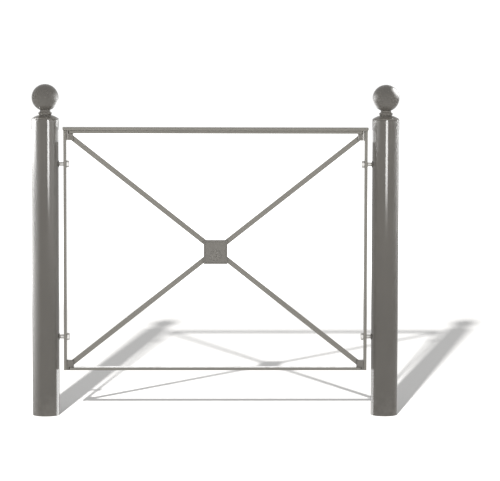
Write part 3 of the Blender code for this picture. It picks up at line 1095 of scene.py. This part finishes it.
@dataclass
class Fixing:
    """Hexagon bolt through a stile and the threaded boss in the post that takes it."""

    side: Side
    level: Level
    shank_radius: float = 0.006
    head_flats: float = 0.018
    head_height: float = 0.0075
    head_edge: float = 0.0003
    head_chamfer: float = 0.0012
    chamfer_share: float = 0.95
    washer_height: float = 0.0006
    washer_share: float = 0.97
    washer_edge: float = 0.0002
    sink: float = 0.001
    thread_pitch: float = 0.00175
    thread_depth: float = 0.0009
    thread_flat: float = 0.0001
    threaded_length: float = 0.0225
    point: float = 0.0006
    point_taper: float = 0.0005
    boss_radius: float = 0.0095
    boss_edge: float = 0.0009
    boss_mouth: float = 0.0003
    boss_back: float = 0.0004
    steps: int = 48
    crown_steps: int = 96
    washer_steps: int = 64

    def piece(self, name: str, solid: Solid, finish: Finish, node: str, lead: float = 0.0) -> None:
        """Finishes a piece that is made along Z and points out of the barrier.

        Args:
            name: end of its name.
            solid: its shape.
            finish: what it is dressed in.
            node: end of the name of the CAD node that it stands for.
            lead: how far it reaches back from its own origin.
        """
        start = f"{self.side.word}_{self.level.word}_"
        low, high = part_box(start + node)
        inner = low.x if self.side is Side.RIGHT else high.x
        turn = Matrix.Rotation(self.side.value * math.pi / 2, 4, "Y")
        place = Matrix.Translation((inner + self.side.value * lead, 0, (low.z + high.z) / 2)) @ turn
        finish_piece(start + name, moved(solid, place), finish, start + node)

    def length(self, node: str) -> float:
        """Length of one of the fixing's CAD nodes."""
        low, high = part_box(f"{self.side.word}_{self.level.word}_{node}")
        return high.x - low.x

    def build(self) -> None:
        """Builds the bolt and its boss."""
        bolt = carve(self.head(), self.washer(), Carving.JOIN)
        bolt = carve(bolt, self.shank(), Carving.JOIN)
        self.piece("hex_bolt", bolt, BOLT_STEEL, "bolt", self.head_height)
        length = self.length("boss")
        bore = self.shank_radius + FIT
        corners = [(bore, 0, self.boss_mouth), (self.boss_radius, 0, self.boss_edge)]
        corners += [(self.boss_radius, length, self.boss_back), (bore, length, 0)]
        boss = turned(soften(corners, True, 4), self.steps, closed=True)
        self.piece("collar_boss", boss, POST_PAINT, "boss")

    def head(self) -> Solid:
        """Hexagon head with its corners chamfered in a turned crown.

        Returns:
            The solid, with its underside at the origin.
        """
        flats = self.head_flats / 2
        points = flats / math.cos(math.pi / 6)
        lift = Matrix.Translation((0, 0, (-self.head_height - self.washer_height) / 2))
        turn = Matrix.Rotation(math.pi / 6, 4, "Z")
        head = rod(points, self.head_height - self.washer_height, lift @ turn, 6)
        top = -self.head_height
        crown = [(0, top, 0), (flats * self.chamfer_share, top, 0), (points, top + self.head_chamfer, 0)]
        crown += [(points, self.sink, 0), (0, self.sink, 0)]
        head = carve(head, turned(soften(crown, False), self.crown_steps), Carving.KEEP_SHARED)
        return ease(head, self.head_edge, 2, sharper_than=40)

    def washer(self) -> Solid:
        """Round washer face under the head.

        Returns:
            The solid.
        """
        radius = self.head_flats / 2 * self.washer_share
        top = -self.washer_height - self.washer_edge
        corners = [(0, top, 0), (radius, top, 0), (radius, 0, self.washer_edge), (0, 0, 0)]
        return turned(soften(corners, False, 2), self.washer_steps)

    def shank(self) -> Solid:
        """Plain shank that ends in a ringed thread and a blunt point.

        Returns:
            The solid, rooted inside the head.
        """
        end = self.length("bolt") - self.head_height
        shank = self.shank_radius
        crest = shank - self.thread_flat
        root = shank - self.thread_depth
        corners = [(0, -2 * self.sink, 0), (shank, -2 * self.sink, 0), (shank, end - self.threaded_length, 0)]
        for index in range(int((self.threaded_length - 2 * self.sink) / self.thread_pitch)):
            start = end - self.threaded_length + index * self.thread_pitch
            for radius, share in ((root, 0.45), (crest, 0.95), (crest, 1.05)):
                corners.append((radius, start + share * self.thread_pitch, 0))
        corners += [(root, end - self.point, 0), (root - self.point_taper, end, 0), (0, end, 0)]
        return turned(soften(corners, False), self.steps)


# ------------------------------------------------------------------ studio


EAST, NORTH, UP = Vector((1, 0, 0)), Vector((0, 1, 0)), Vector((0, 0, 1))


def group(name: str, members: Sequence[str]) -> bpy.types.Collection:
    """Gathers the objects that a light is meant for.

    Args:
        name: name of their collection.
        members: names of the objects.

    Returns:
        The collection.
    """
    gathered = bpy.data.collections.new(name)
    for member in members:
        gathered.objects.link(bpy.data.objects[member])
    return gathered


@dataclass(frozen=True)
class Rise:
    """Where the light of a board rises from nothing to full along an axis."""

    axis: str
    start: float
    full: float


@dataclass
class Card:
    """Luminous board that shows only in the gloss of some pieces, and is clear to all the others."""

    name: str
    centre: tuple[float, float, float]
    size: tuple[float, float]
    facing: Vector
    strength: float
    shows_in: Sequence[str]
    rises: tuple[Rise, ...] = ()

    def material(self) -> bpy.types.Material:
        """Light that rises along the board, over a clear ground.

        Returns:
            The material.
        """
        bench = Bench(self.name + "_light")
        bench.tree.nodes.remove(bench.shader)
        glow = bench.add("ShaderNodeEmission")
        glow.inputs["Strength"].default_value = self.strength
        level = None
        for rise in self.rises:
            full = self.strength if level is None else 1.0
            ramp = bench.spread(bench.along(rise.axis), 0.0, full, rise.start, rise.full, "SMOOTHSTEP")
            level = ramp if level is None else bench.product(level, ramp)
        if level is not None:
            bench.join(level, glow.inputs["Strength"])
        clear = bench.add("ShaderNodeBsdfTransparent")
        both = bench.add("ShaderNodeAddShader")
        bench.join(glow.outputs["Emission"], both.inputs[0])
        bench.join(clear.outputs["BSDF"], both.inputs[1])
        bench.join(both.outputs["Shader"], bench.tree.nodes["Material Output"].inputs["Surface"])
        bench.material.cycles.emission_sampling = "NONE"
        return bench.material

    def build(self) -> None:
        """Hangs the board."""
        solid = bmesh.new()
        turn = self.facing.to_track_quat("Z", "Y").to_matrix().to_4x4()
        place = Matrix.Translation(self.centre) @ turn @ Matrix.Diagonal((*self.size, 1, 1))
        bmesh.ops.create_grid(solid, x_segments=1, y_segments=1, size=0.5, matrix=place)
        board = scratch(self.name, solid)
        board.data.materials.append(self.material())
        board.visible_camera = False
        board.visible_diffuse = False
        board.visible_shadow = False
        board.visible_transmission = False
        board.light_linking.receiver_collection = group(self.name + "_shows_in", self.shows_in)


@dataclass
class Lamp:
    """Round lamp that looks at the barrier and lights only some objects."""

    name: str
    place: tuple[float, float, float]
    size: float
    power: float
    falls_on: Sequence[str]
    aim: tuple[float, float, float] = (0, 0, 0.4)

    def build(self) -> None:
        """Hangs the lamp."""
        light = bpy.data.lights.new(self.name, "AREA")
        light.shape = "DISK"
        light.size = self.size
        light.energy = self.power
        light.color = (1.0, 0.985, 0.96)
        lamp = bpy.data.objects.new(self.name, light)
        bpy.context.scene.collection.objects.link(lamp)
        lamp.location = self.place
        lamp.rotation_euler = (Vector(self.aim) - Vector(self.place)).to_track_quat("-Z", "Y").to_euler()
        lamp.visible_glossy = False
        lamp.light_linking.receiver_collection = group(self.name + "_falls_on", self.falls_on)


@dataclass
class Studio:
    """White floor, even white surroundings, a lamp for the shadow, a fill for the finials, and the boards."""

    floor_width: float = 60.0
    floor_front: float = -5.6
    floor_back: float = 30.0
    floor_white: float = 0.50
    clear_from: float = 2.8
    clear_to: float = 4.4
    clear_white: float = 1.1
    seen: float = 1.05
    surround: float = 0.95
    surround_in_gloss: float = 0.80
    tint: Colour = (1.0, 0.995, 0.985)
    gap_top: float = 0.043
    gap_clearance: float = 0.0005
    gap_top_clearance: float = 0.0008
    over_rail: float = 0.012
    apart: float = 0.001

    def build(self) -> None:
        """Sets up the studio."""
        scene = bpy.context.scene
        scene.view_settings.view_transform = "Standard"
        scene.view_settings.look = "None"
        self.build_surround()
        self.build_floor()
        finials = [f"{side.word}_{piece}" for side in Side for piece in ("cap", "collar")]
        Lamp("low_lamp", (-1.93, -11.4, 5.30), 0.30, 7600.0, ["studio_floor"]).build()
        Lamp("finial_fill", (0, -6, 1.3), 5.0, 320.0, finials).build()
        for card in self.post_cards() + self.gap_cards() + self.ball_cards() + self.panel_cards():
            card.build()

    def build_surround(self) -> None:
        """White behind the object, and a softer even light from all round."""
        world = bpy.data.worlds.new("white_studio")
        bpy.context.scene.world = world
        world.use_nodes = True
        wiring = Wiring(world.node_tree)
        wiring.tree.nodes.remove(wiring.tree.nodes["Background"])
        whites = ((self.tint, self.surround), (self.tint, self.surround_in_gloss), ((1, 1, 1), self.seen))
        rays = wiring.add("ShaderNodeLightPath")
        result = None
        for (colour, strength), ray in zip(whites, (None, "Is Glossy Ray", "Is Camera Ray")):
            white = wiring.add("ShaderNodeBackground")
            white.inputs["Color"].default_value = (*colour, 1)
            white.inputs["Strength"].default_value = strength
            if ray is None:
                result = white.outputs["Background"]
                continue
            mix = wiring.add("ShaderNodeMixShader")
            wiring.join(rays.outputs[ray], mix.inputs["Fac"])
            wiring.join(result, mix.inputs[1])
            wiring.join(white.outputs["Background"], mix.inputs[2])
            result = mix.outputs["Shader"]
        wiring.join(result, wiring.tree.nodes["World Output"].inputs["Surface"])

    def build_floor(self) -> None:
        """Plain white floor that runs out into clear white far from the object."""
        solid = bmesh.new()
        size = Matrix.Diagonal((self.floor_width, self.floor_back - self.floor_front, 1, 1))
        middle = Matrix.Translation((0, (self.floor_back + self.floor_front) / 2, 0))
        bmesh.ops.create_grid(solid, x_segments=4, y_segments=4, size=0.5, matrix=middle @ size)
        floor = scratch("studio_floor", solid)
        bench = Bench("white_floor")
        inputs = bench.shader.inputs
        inputs["Base Color"].default_value = (self.floor_white,) * 3 + (1,)
        inputs["Roughness"].default_value = 0.9
        inputs["Specular IOR Level"].default_value = 0.0
        inputs["Emission Color"].default_value = (1, 1, 1, 1)
        far = bench.add("ShaderNodeVectorMath", operation="LENGTH")
        bench.join(bench.place, far.inputs[0])
        clear = bench.spread(far.outputs["Value"], 0.0, self.clear_white, self.clear_from, self.clear_to)
        bench.join(clear, inputs["Emission Strength"])
        floor.data.materials.append(bench.material)
        floor.visible_glossy = False

    @staticmethod
    def post_cards() -> list[Card]:
        """Boards for the posts.

        Returns:
            A narrow strip for both, and washes for each side of each.
        """
        both = ("left_tube", "right_tube")
        left, right = (tuple(f"{side.word}_{piece}" for piece in ("tube", "cap")) for side in Side)
        return [
            Card("front_strip", (0.64, -1.9, 1.4), (0.62, 2.0), Vector((-0.35, 1, 0)), 17.0, both,
                 (Rise("Z", 0.43, 0.62),)),
            Card("left_wash", (-3.2, 1.0, 0.35), (8.0, 2.5), EAST, 4.2, left,
                 (Rise("Y", -3.2, 1.0), Rise("Y", 4.6, 2.2), Rise("Z", -0.75, 0.35))),
            Card("left_board", (-3.05, 1.6, 3.0), (5.2, 5.4), EAST, 13.0, left,
                 (Rise("Y", -0.95, -0.15), Rise("Y", 4.2, 2.0), Rise("Z", 0.48, 0.80))),
            Card("right_board", (3.2, 2.5, 0.5), (4.1, 2.8), -EAST, 5.5, left, (Rise("Y", 0.4, 1.4),)),
            Card("right_wash", (3.1, -3.8, 0.7), (8.4, 2.2), -EAST, 1.4, left, (Rise("Z", -0.3, 0.6),)),
            Card("right_glow", (3.3, 1.5, 0.9), (5.0, 2.0), -EAST, 3.5, right,
                 (Rise("Y", -1.5, 1.0), Rise("Z", 0.0, 0.9))),
            Card("far_left_wash", (-3.1, 0.2, 1.1), (7.6, 1.2), EAST, 4.2, right,
                 (Rise("Y", -3.6, 1.2), Rise("Z", 0.56, 0.70))),
            Card("far_left_board", (-3.3, 3.2, 0.0), (4.4, 2.4), EAST, 3.2, right, (Rise("Z", 0.0, -0.3),)),
        ]

    def gap_cards(self) -> list[Card]:
        """Boards on the outer faces of the uprights, for the side of the tube next to each.

        Returns:
            For each end, one as high as the upright, and a brighter one at its top.
        """
        cards = []
        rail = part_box("handrail")
        for side in Side:
            word = side.word
            low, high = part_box(word + "_stile")
            outer = 0 if side is Side.LEFT else 1
            across = (low, high)[outer].x + side.value * self.gap_clearance
            size = (high.y - low.y, high.z - low.z)
            cards.append(Card(word + "_gap_glow", (across, 0, (low.z + high.z) / 2), size, side.value * EAST,
                              0.85, ("left_tube", "right_tube")))
            across = rail[outer].x + side.value * self.gap_top_clearance
            size = (rail[1].y - rail[0].y, self.gap_top)
            height = rail[1].z + self.apart - self.gap_top / 2
            cards.append(Card(word + "_gap_top", (across, 0, height), size, side.value * EAST, 2.2,
                              (word + "_tube",)))
        return cards

    def ball_cards(self) -> list[Card]:
        """Boards for the balls.

        Returns:
            A wash and a low board for the inner side of each ball, and a high one for the right ball.
        """
        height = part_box("handrail")[1].z + self.over_rail
        high_low = (Rise("Z", 3.0, 0.9), Rise("Z", 0.2, 0.85))
        crescent = (Rise("Y", -0.05, 0.08), Rise("Y", 1.6, 0.3))
        left, right = ("left_ball",), ("right_ball",)
        return [
            Card("left_ball_wash", (3.0, 0.4, 1.1), (8.4, 4.0), -EAST, 4.2, left,
                 (Rise("Y", -2.8, 1.6), *high_low)),
            Card("right_ball_wash", (-3.0, 0.4, 1.1), (8.4, 4.0), EAST, 4.2, right,
                 (Rise("Y", -2.4, 1.4), *high_low)),
            Card("low_right_board", (0.56, 0.9, height), (2.0, 2.2), UP, 4.0, left,
                 (Rise("X", -0.44, -0.41), *crescent)),
            Card("low_left_board", (-0.56, 0.9, height + self.apart), (2.0, 2.2), UP, 2.8, right,
                 (Rise("X", 0.44, 0.41), *crescent)),
            Card("high_board", (3.05, 1.6, 2.9), (5.2, 4.6), -EAST, 13.0, right,
                 (Rise("Y", -0.9, 0.9), Rise("Z", 0.5, 2.5), Rise("Z", 5.2, 3.2))),
        ]

    @staticmethod
    def panel_cards() -> list[Card]:
        """Boards for the panel.

        Returns:
            Those for the upper castings, the medallion, the bolts and the top of the lower bar.
        """
        bolts = tuple(f"{side.word}_{level.word}_hex_bolt" for side in Side for level in Level)
        medallion = ("rosette_relief_front", "medallion_half_front")
        return [
            Card("left_key_glow", (2.6, -3.2, 0.8), (10.0, 3.6), -EAST, 4.0, ("left_upper_casting",)),
            Card("right_key_glow", (-2.6, -3.2, 0.8), (10.0, 3.6), EAST, 12.0, ("right_upper_casting",)),
            Card("rosette_glow", (-3.0, -4.0, 3.0), (4.0, 3.0), Vector((1, 1.3, -0.9)), 4.0, medallion),
            Card("bolt_glow", (0, -8.5, -0.2), (5.0, 3.4), NORTH, 1.1, bolts),
            Card("lower_bar_glow", (0, 7.5, 1.1), (5.0, 2.4), -NORTH, 1.6, ("lower_bar",)),
        ]


@dataclass(frozen=True)
class Viewpoint:
    """Camera, level with the balls and a little left of the middle of the barrier."""

    place: tuple[float, float, float] = (-0.03767, -6.49999, 0.98675)
    yaw: float = 0.02081
    pitch: float = 0.07510
    roll: float = 0.00253
    lens: float = 165.56
    sensor: float = 36.0
    reach: float = 200.0

    def build(self) -> None:
        """Sets up the camera."""
        data = bpy.data.cameras.new("view")
        data.lens = self.lens
        data.sensor_width = self.sensor
        data.clip_end = self.reach
        camera = bpy.data.objects.new("view", data)
        bpy.context.scene.collection.objects.link(camera)
        turn = Matrix.Rotation(-self.yaw, 4, "Z") @ Matrix.Rotation(math.pi / 2 - self.pitch, 4, "X")
        camera.matrix_world = Matrix.Translation(self.place) @ turn @ Matrix.Rotation(self.roll, 4, "Z")
        bpy.context.scene.camera = camera


# ------------------------------------------------------------------ assembly


def bolt_heights() -> tuple[float, float]:
    """Finds the heights of the bolts.

    Returns:
        Height of the lower bolts, and of the upper ones.
    """
    heights = []
    for level in Level:
        low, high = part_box(f"left_{level.word}_bolt")
        heights.append((low.z + high.z) / 2)
    return heights[0], heights[1]


def dress_hidden_steel() -> None:
    """Dresses the studs and nuts inside the posts, which keep their own shapes."""
    for name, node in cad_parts.items():
        if name.endswith(("finial_stud", "cap_nut")):
            node.data.materials.clear()
            node.data.materials.append(STUD_STEEL.material())
            LOG.info("%s: %s", name, STUD_STEEL.name)


def main() -> None:
    """Builds the barrier and the studio round it."""
    logging.basicConfig(level=logging.INFO, format="%(message)s")
    heights = bolt_heights()
    for side in Side:
        Post(side, heights).build()
        for level in Level:
            Fixing(side, level).build()
    PanelFrame(heights).build()
    bracing = Bracing()
    bracing.build()
    Medallion(bracing).build()
    dress_hidden_steel()
    Studio().build()
    Viewpoint().build()


if __name__ == "__main__":
    main()
